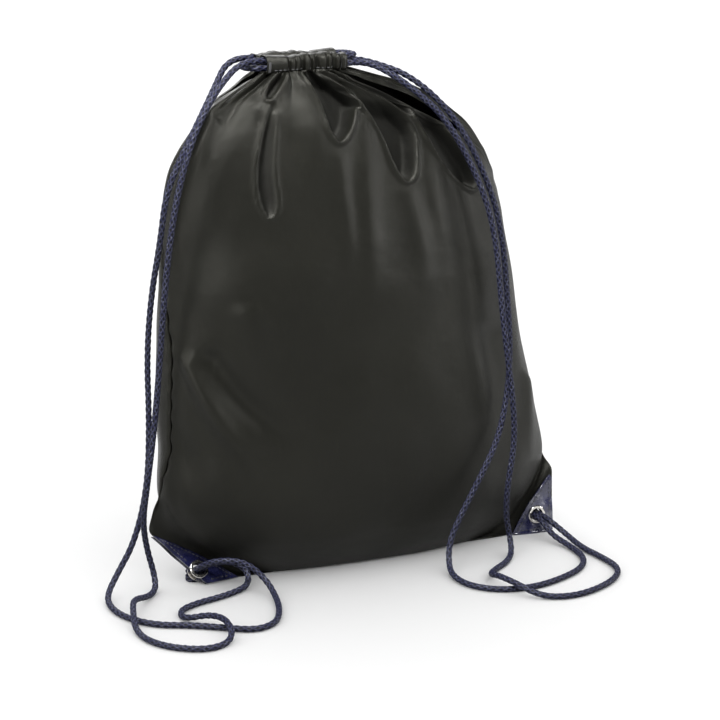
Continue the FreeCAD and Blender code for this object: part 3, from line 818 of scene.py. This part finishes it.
def panel_place(side):
    """The function that places one panel's grid."""
    def place(column_share, row_share):
        across, up = panel_shares(column_share, row_share)
        base, height = panel_base(across, up, side)
        slope_across = np.gradient(base, axis=1)
        slope_up = np.gradient(base, axis=0)
        normal = np.cross(slope_across, slope_up) * -side
        normal /= np.maximum(np.linalg.norm(normal, axis=-1, keepdims=True), 1e-9)
        free = 1.0 - np.abs(across) ** 10
        for edge, ear in EARS.items():
            reach = np.abs(across - edge) / 0.5 + up * CUT_HEIGHT / ear.up_length / 1.6
            free = free * smoothstep(0.55, 1.5, reach)
        free = free * smoothstep(0.0, 0.06, up)
        around = seam_turn(across, height, side) / (math.pi / 2)
        lift = folds(around, height, side) * free + seam_strip(across, height)
        places = base + normal * lift[..., None]
        places[..., 2] = np.maximum(places[..., 2], FLOOR_ROOM)
        return places
    return place


def cut_eyelet_holes(form):
    """Opens both corners where the eyelets pass."""
    doomed = [
        face for face in form.faces
        if any((face.calc_center_median() - ear.eyelet).length < EYELET_HOLE_R for ear in EARS.values())
    ]
    bmesh.ops.delete(form, geom=doomed, context="FACES")


def tunnel_place(side):
    """The gathered hem tunnel: a soft tube along X round its two cords, pressed in by the pleats."""
    half_depth = HEM_DEPTH / 2 + 0.0012

    def place(column_share, row_share):
        x = HEM_LEFT + (HEM_RIGHT - HEM_LEFT) * column_share
        along = hem_place(x, side)
        turn = row_share * 2 * math.pi
        outward, upward = np.cos(turn), np.sin(turn)
        crisp = np.where((outward > 0) & (upward < 0), HEM_FOOT_CRISP, HEM_CRISP)
        outward = np.abs(outward) ** crisp * np.sign(outward)
        upward = np.abs(upward) ** crisp * np.sign(upward)
        press = np.minimum(hem_press(x, side), HEM_PRESS_MOST)
        slack = smoothstep(-0.020, -0.010, along)
        puff = (0.0010 * np.cos(along * 2 * math.pi / 0.021 + 0.7)
                + 0.0006 * np.cos(along * 2 * math.pi / 0.0083))
        flush = 1.0 - 0.13 * np.maximum(-upward, 0.0)
        depth = half_depth * outward * flush + np.maximum(outward, 0.0) * (puff * slack - press)
        reach = np.where(upward > 0, HEM_RISE, HEM_FALL)
        top = np.maximum(upward, 0.0)
        level = reach * upward + top * (puff * 0.5 * slack - press * 0.10)
        level = level + 0.0006 * top * np.sin(along * 2 * math.pi / 0.047)
        return np.stack([x, side * (TUNNEL_Y + depth), TUNNEL_Z + level], axis=-1)
    return place


def round_tube(line, step, radius, ripple):
    """A tube round a line of points: ripple gives its surface from the turn and the length."""
    line = np.array(line)
    lengths = np.concatenate([[0.0], np.cumsum(np.linalg.norm(np.diff(line, axis=0), axis=1))])
    count = max(8, int(lengths[-1] / step))
    stations = np.linspace(0.0, lengths[-1], count + 1)
    middle = np.stack([np.interp(stations, lengths, line[:, k]) for k in range(3)], axis=-1)
    ahead = np.gradient(middle, axis=0)
    ahead /= np.linalg.norm(ahead, axis=1, keepdims=True)
    first = np.zeros_like(ahead)
    aside = (0.0, 0.0, 1.0) if abs(ahead[0][2]) < 0.9 else (1.0, 0.0, 0.0)
    start = np.cross(ahead[0], aside)
    carried = start / np.linalg.norm(start)
    for index, way in enumerate(ahead):
        carried = carried - way * (carried @ way)
        carried = carried / np.linalg.norm(carried)
        first[index] = carried
    second = np.cross(ahead, first)

    def place(turn_share, length_share):
        turn = turn_share * 2 * math.pi
        size = radius + ripple(turn, length_share * stations[-1])
        return middle[:, None, :] + size[..., None] * (
            np.cos(turn)[..., None] * first[:, None, :] + np.sin(turn)[..., None] * second[:, None, :])
    return place, count, stations[-1]


def braid_ripple(turn, length):
    """Height of the crossing strands above the cord's core."""
    sizes = bpy.context.scene.backpack_cord
    round_phase = sizes.strands * turn
    run_phase = 2 * math.pi * sizes.strands * length / sizes.pitch
    over = 0.28 * np.cos(round_phase)
    first = np.cos(round_phase + run_phase) * (1.0 + over)
    second = np.cos(round_phase - run_phase) * (1.0 - over)
    return 0.00042 * np.maximum(first, second)


def braided_tube(name, line, radius):
    sizes = bpy.context.scene.backpack_cord
    place, count, length = round_tube(line, sizes.step, radius, braid_ripple)
    form = mapped_grid(24, count, place, (1.0, length), turn_over=True)
    bmesh.ops.remove_doubles(form, verts=form.verts, dist=1e-6)
    ends = [edge for edge in form.edges if edge.is_boundary]
    bmesh.ops.holes_fill(form, edges=ends, sides=0)
    return add_object(name, form, keep_one(braid))


def nurbs_line(name, route, steps):
    """Points along the smooth spline that the route's points steer."""
    curve = bpy.data.curves.new(name, "CURVE")
    curve.dimensions = "3D"
    spline = curve.splines.new("NURBS")
    spline.points.add(len(route) - 1)
    for point, place in zip(spline.points, route):
        point.co = (*place, 1.0)
    spline.order_u = 3
    spline.use_endpoint_u = True
    spline.resolution_u = steps
    guide = bpy.data.objects.new(name, curve)
    bpy.context.scene.collection.objects.link(guide)
    mesh = bpy.data.meshes.new_from_object(guide)
    line = [tuple(vert.co) for vert in mesh.vertices]
    bpy.data.meshes.remove(mesh)
    bpy.data.objects.remove(guide)
    bpy.data.curves.remove(curve)
    return line


# ---------------------------------------------------------------- pieces

def make_cord(edge, route, knot):
    word = EDGE_WORDS[edge]
    line = nurbs_line(f"{word}_cord_guide", route, 40)
    cord = braided_tube(f"{word}_braided_cord", line, CORD_CORE_R)
    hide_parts(f"{word}_cord")
    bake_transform(cord)


def make_knot(edge):
    """Overhand knot of the two cord ends, pulled up against the washer."""
    word = EDGE_WORDS[edge]
    ear = EARS[edge]
    back = -ear.normal
    across = ear.across
    upward = back.cross(across)
    centre = ear.eyelet + back * KNOT_BEHIND
    turns = []
    for step in range(KNOT_STEPS + 1):
        angle = step / KNOT_STEPS * 2 * math.pi
        spread = 0.00285 * (1.0 + 0.62 * math.cos(1.5 * 2 * angle))
        around = 2 * angle
        turns.append(centre + across * (spread * math.cos(around) * 1.25)
                     + upward * (spread * math.sin(around) * 1.05)
                     + back * (0.0030 * math.sin(1.5 * 2 * angle)))
    piece = braided_tube(f"{word}_overhand_knot", turns, KNOT_CORE_R)
    for vert in piece.data.vertices:
        vert.co.z = max(vert.co.z, 0.0003)
    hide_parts(f"{word}_cord_knot")
    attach(piece, home(f"{word}_cord_knot"))
    return piece


def make_panel(side):
    word = SIDE_WORDS[side]
    sizes = bpy.context.scene.backpack_cloth
    form = mapped_grid(sizes.columns, sizes.rows, panel_place(side), (CUT_WIDTH, CUT_HEIGHT),
                       turn_over=side == BACK, tuck=panel_tuck(side))
    cut_eyelet_holes(form)
    panel = add_object(f"{word}_satin_panel", form, keep_one(satin))
    solid(panel, sizes.thickness)
    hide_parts(f"{word}_panel")
    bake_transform(panel)


def make_tunnel(side):
    word = SIDE_WORDS[side]
    form = mapped_grid(260, 72, tunnel_place(side), (0.20, 0.05), turn_over=side == BACK)
    bmesh.ops.remove_doubles(form, verts=form.verts, dist=1e-6)
    tunnel = add_object(f"{word}_gathered_hem", form, keep_one(satin))
    solid(tunnel, bpy.context.scene.backpack_cloth.thickness)
    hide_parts(f"{word}_hem_tunnel")
    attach(tunnel, home(f"{word}_hem_tunnel"))


def patch_lift(up, along, edge):
    """The patch's gentle curl away from flat, nil round the eyelet."""
    ear = EARS[edge]
    from_eyelet = np.hypot((up - ear.shares[0]) * ear.up_length, (along - ear.shares[1]) * ear.along_length)
    free = smoothstep(0.009, 0.022, from_eyelet)
    curl = -0.0028 * smoothstep(0.35, -0.05, along) * up if edge == RIGHT else -0.0015 * up
    wave = 0.0006 * np.sin(up * 9.0 + along * 5.0)
    return (curl + wave) * free


def patch_place(edge, side):
    ear = EARS[edge]

    def place(column_share, row_share):
        bulge = 0.10 * np.sin(column_share * math.pi)
        up = (1.0 - column_share) * (1 + bulge) * (0.03 + 0.97 * row_share)
        along = column_share * (1 + bulge) * (0.03 + 0.97 * row_share)
        lift = patch_lift(up, along, edge) - side * PATCH_OFF_EAR
        places = ear.points(up, along, lift)
        places[..., 2] = np.maximum(places[..., 2], FLOOR_ROOM + 0.0003)
        return places
    return place


def make_patch(edge, side):
    word = f"{EDGE_WORDS[edge]}_{SIDE_WORDS[side]}"
    sizes = bpy.context.scene.backpack_corner
    form = mapped_grid(46, 46, patch_place(edge, side), (0.05, 0.05))
    hole = EARS[edge].eyelet + EARS[edge].normal * (-side * PATCH_OFF_EAR)
    doomed = [
        face for face in form.faces
        if (face.calc_center_median() - hole).length < EYELET_HOLE_R + 0.0003
    ]
    bmesh.ops.delete(form, geom=doomed, context="FACES")
    outward = EARS[edge].normal * -side
    form.normal_update()
    if sum((face.normal for face in form.faces), Vector()).dot(outward) < 0:
        bmesh.ops.reverse_faces(form, faces=form.faces)
    patch = add_object(f"{word}_leatherette_patch", form, keep_one(leatherette))
    solid(patch, sizes.thickness)
    rounded = patch.modifiers.new("edge", "BEVEL")
    rounded.width = 0.0004
    rounded.segments = 2
    rounded.limit_method = "ANGLE"
    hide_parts(f"{word}_corner_patch")
    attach(patch, home(f"{word}_corner_patch"))
    return patch


def add_stitch(form, start, end, lift, width=0.0007):
    """One sunk stitch: a slim ellipsoid between two points."""
    start, end, lift = Vector(start), Vector(end), Vector(lift).normalized()
    along = (end - start).normalized()
    beside = lift.cross(along).normalized()
    made = bmesh.ops.create_uvsphere(form, u_segments=8, v_segments=6, radius=1.0)["verts"]
    centre = (start + end) / 2
    reach = (end - start).length / 2
    for vert in made:
        x, y, z = vert.co
        vert.co = centre + along * (z * reach) + beside * (x * width / 2) + lift * (y * width * 0.4)


def make_patch_stitching(edge, side):
    word = f"{EDGE_WORDS[edge]}_{SIDE_WORDS[side]}"
    ear = EARS[edge]
    height = -side * STITCH_OFF_EAR
    form = bmesh.new()

    def at(up, along):
        place = ear.points(np.array([up]), np.array([along]),
                           patch_lift(np.array([up]), np.array([along]), edge) + height)[0]
        return Vector(place)

    runs = (
        (lambda share: (share, PATCH_STITCH_INSET / ear.along_length), ear.up_length, 0.12, 0.84),
        (lambda share: (PATCH_STITCH_INSET / ear.up_length, share), ear.along_length, 0.22, 0.80),
        (lambda share: ((1 - share) * (0.93 + 0.09 * math.sin(share * math.pi)),
                        share * (0.90 + 0.09 * math.sin(share * math.pi))),
         (ear.side_point - ear.seam_point).length, 0.05, 0.95),
    )
    for line, length, first, last in runs:
        count = max(2, int(length * (last - first) / PATCH_STITCH_PITCH))
        for index in range(count):
            start = first + (last - first) * index / count
            end = first + (last - first) * (index + STITCH_SHARE) / count
            a, b = at(*line(start)), at(*line(end))
            if min((a - ear.eyelet).length, (b - ear.eyelet).length) < 0.0090 or min(a.z, b.z) < 0.0008:
                continue
            add_stitch(form, a, b, ear.normal * -side)
    stitches = add_object(f"{word}_patch_stitches", form, keep_one(thread))
    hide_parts(f"{word}_patch_stitching")
    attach(stitches, home(f"{word}_patch_stitching"))


def hem_surface(side, x, level):
    """A point on the hem's outer face at a level in its lower half."""
    share = min(1.0, max(0.0, (TUNNEL_Z - level) / HEM_FALL))
    angle = -math.asin(share ** (1 / HEM_FOOT_CRISP))
    row = (angle / (2 * math.pi)) % 1.0
    column = (x - HEM_LEFT) / (HEM_RIGHT - HEM_LEFT)
    return Vector(tunnel_place(side)(np.array([[column]]), np.array([[row]]))[0, 0])


def make_hem_stitching(side):
    word = SIDE_WORDS[side]
    outward = Vector((0.0, side, 0.0))
    form = bmesh.new()
    count = int((HEM_RIGHT - HEM_LEFT - 2 * HEM_STITCH_INSET) / HEM_STITCH_PITCH)
    for index in range(count):
        x = HEM_LEFT + HEM_STITCH_INSET + index * HEM_STITCH_PITCH
        x_end = x + HEM_STITCH_PITCH * STITCH_SHARE
        start = hem_surface(side, x, HEM_STITCH_LEVEL) + outward * STITCH_PROUD
        end = hem_surface(side, x_end, HEM_STITCH_LEVEL) + outward * STITCH_PROUD
        add_stitch(form, start, end, outward)
    stitches = add_object(f"{word}_hem_stitches", form, keep_one(thread))
    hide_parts(f"{word}_hem_stitching")
    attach(stitches, home(f"{word}_hem_stitching"))


def make_bartacks(side):
    word = SIDE_WORDS[side]
    outward = Vector((0.0, side, 0.0))
    form = bmesh.new()
    for x in (HEM_LEFT + 0.0022, HEM_RIGHT - 0.0022):
        for index in range(TACK_PASSES):
            level = HEM_BOTTOM + 0.0015 + index * 0.0005
            start = hem_surface(side, x - 0.0011, min(level, TUNNEL_Z)) + outward * STITCH_PROUD
            end = hem_surface(side, x + 0.0011, min(level, TUNNEL_Z)) + outward * STITCH_PROUD
            start.z = end.z = level
            add_stitch(form, start, end, outward, 0.0006)
    tacks = add_object(f"{word}_hem_tacks", form, keep_one(thread))
    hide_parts(f"{word}_hem_bartacks")
    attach(tacks, home(f"{word}_hem_bartacks"))


# ---------------------------------------------------------------- operators

# Softboxes: name, place, size, power in watts. They light the bag and leave the floor to the sky.
SOFTBOXES = (
    ("top_softbox", (-0.35, -0.45, 1.45), 0.45, 52.0),
    ("right_softbox", (1.35, -0.55, 0.70), 0.4, 14.0),
    ("left_softbox", (-1.50, -0.50, 0.75), 0.45, 18.0),
    ("back_softbox", (0.20, 1.50, 1.20), 0.7, 16.0),
)
PATCH_LAMP = "patch_softbox"
PATCH_LAMP_PLACE = (0.56, -1.10, 0.22)
PATCH_LAMP_SIZE = 0.14
PATCH_LAMP_POWER = 2.6
SKY_STRENGTH = 1.35
SKY_GLOSS = 0.06


class BACKPACK_OT_stage(bpy.types.Operator):
    """Set the pale floor, the soft light and the camera"""
    bl_idname = "backpack.stage"
    bl_label = "Stage"

    def execute(self, context):
        scene = context.scene
        stage = scene.backpack_stage
        form = bmesh.new()
        bmesh.ops.create_grid(form, x_segments=1, y_segments=1, size=20.0)
        floor = add_object("floor", form, pale_floor(), smooth=False)
        target = Vector((0.002, 0.0, 0.163))
        away = Vector((
            math.sin(stage.azimuth) * math.cos(stage.elevation),
            -math.cos(stage.azimuth) * math.cos(stage.elevation),
            math.sin(stage.elevation),
        ))
        camera = bpy.data.objects.new("camera", bpy.data.cameras.new("camera"))
        camera.data.lens = stage.lens
        camera.data.sensor_width = 36.0
        camera.location = target + away * stage.distance
        camera.rotation_euler = (-away).to_track_quat("-Z", "Y").to_euler()
        scene.collection.objects.link(camera)
        scene.camera = camera
        shaded = bpy.data.collections.new("lamp_receivers")
        shaded.objects.link(floor)
        shaded.collection_objects[0].light_linking.link_state = "EXCLUDE"
        for name, place, size, power in SOFTBOXES:
            self.light(name, place, size, power, target, shaded)
        glossed = bpy.data.collections.new(PATCH_LAMP)
        self.light(PATCH_LAMP, PATCH_LAMP_PLACE, PATCH_LAMP_SIZE, PATCH_LAMP_POWER,
                   EARS[RIGHT].eyelet, glossed)
        self.sky(scene)
        scene.view_settings.view_transform = "Standard"
        return {"FINISHED"}

    def light(self, name, place, size, power, target, shaded):
        lamp = bpy.data.lights.new(name, "AREA")
        lamp.size = size
        lamp.energy = power
        holder = bpy.data.objects.new(name, lamp)
        holder.location = place
        holder.light_linking.receiver_collection = shaded
        holder.rotation_euler = (target - Vector(place)).to_track_quat("-Z", "Y").to_euler()
        bpy.context.scene.collection.objects.link(holder)

    def sky(self, scene):
        world = bpy.data.worlds.new("studio")
        scene.world = world
        world.use_nodes = True
        nodes, links = world.node_tree.nodes, world.node_tree.links
        background = nodes["Background"]
        paths = nodes.new("ShaderNodeLightPath")
        strength = nodes.new("ShaderNodeMapRange")
        strength.inputs["To Min"].default_value = SKY_STRENGTH
        strength.inputs["To Max"].default_value = SKY_GLOSS
        links.new(paths.outputs["Is Glossy Ray"], strength.inputs["Value"])
        links.new(strength.outputs["Result"], background.inputs["Strength"])
        background.inputs["Color"].default_value = (1.0, 1.0, 1.0, 1.0)


class BACKPACK_OT_cords(bpy.types.Operator):
    """Braid both cord loops and knot their ends"""
    bl_idname = "backpack.cords"
    bl_label = "Cords and knots"

    def execute(self, context):
        make_cord(LEFT, LEFT_ROUTE, make_knot(LEFT))
        make_cord(RIGHT, RIGHT_ROUTE, make_knot(RIGHT))
        return {"FINISHED"}


class BACKPACK_OT_panels(bpy.types.Operator):
    """Drape the front and the back panel"""
    bl_idname = "backpack.panels"
    bl_label = "Satin panels"

    def execute(self, context):
        for side in (FRONT, BACK):
            make_panel(side)
        return {"FINISHED"}


class BACKPACK_OT_hem(bpy.types.Operator):
    """Gather the two hem tunnels, with their stitching and tacks"""
    bl_idname = "backpack.hem"
    bl_label = "Gathered hem"

    def execute(self, context):
        for side in (FRONT, BACK):
            make_tunnel(side)
            make_hem_stitching(side)
            make_bartacks(side)
        return {"FINISHED"}


class BACKPACK_OT_corners(bpy.types.Operator):
    """Sew the leatherette patches on the corners"""
    bl_idname = "backpack.corners"
    bl_label = "Corner patches"

    def execute(self, context):
        for edge in (LEFT, RIGHT):
            for side in (FRONT, BACK):
                bpy.data.collections[PATCH_LAMP].objects.link(make_patch(edge, side))
                make_patch_stitching(edge, side)
        return {"FINISHED"}


class BACKPACK_OT_metal(bpy.types.Operator):
    """Finish the eyelets and washers in nickel"""
    bl_idname = "backpack.metal"
    bl_label = "Eyelets and washers"

    def execute(self, context):
        for word in EDGE_WORDS.values():
            for node in (f"{word}_eyelet", f"{word}_eyelet_washer"):
                for slot in frame["nodes"][node].material_slots:
                    slot.material = keep_one(nickel)
        return {"FINISHED"}


class BACKPACK_PT_sidebar(bpy.types.Panel):
    """Lists the steps that build the bag"""
    bl_label = "Drawstring Backpack"
    bl_space_type = "VIEW_3D"
    bl_region_type = "UI"
    bl_category = "Backpack"

    def draw(self, context):
        for operator in OPERATORS:
            self.layout.operator(operator.bl_idname)
        for group in GROUPS:
            settings = getattr(context.scene, group)
            box = self.layout.box()
            for name in settings.__annotations__:
                box.prop(settings, name)


OPERATORS = (
    BACKPACK_OT_stage, BACKPACK_OT_cords, BACKPACK_OT_panels, BACKPACK_OT_hem, BACKPACK_OT_corners,
    BACKPACK_OT_metal,
)
GROUPS = {
    "backpack_cloth": BackpackCloth,
    "backpack_cord": BackpackCord,
    "backpack_corner": BackpackCorner,
    "backpack_stage": BackpackStage,
}


def register():
    for group in GROUPS.values():
        bpy.utils.register_class(group)
    for name, group in GROUPS.items():
        setattr(bpy.types.Scene, name, bpy.props.PointerProperty(type=group))
    for operator in OPERATORS:
        bpy.utils.register_class(operator)
    bpy.utils.register_class(BACKPACK_PT_sidebar)


def unregister():
    bpy.utils.unregister_class(BACKPACK_PT_sidebar)
    for operator in reversed(OPERATORS):
        bpy.utils.unregister_class(operator)
    for name, group in GROUPS.items():
        delattr(bpy.types.Scene, name)
        bpy.utils.unregister_class(group)


def main():
    register()
    bpy.ops.backpack.stage()
    bpy.ops.backpack.cords()
    bpy.ops.backpack.panels()
    bpy.ops.backpack.hem()
    bpy.ops.backpack.corners()
    bpy.ops.backpack.metal()


if __name__ == "__main__":
    main()
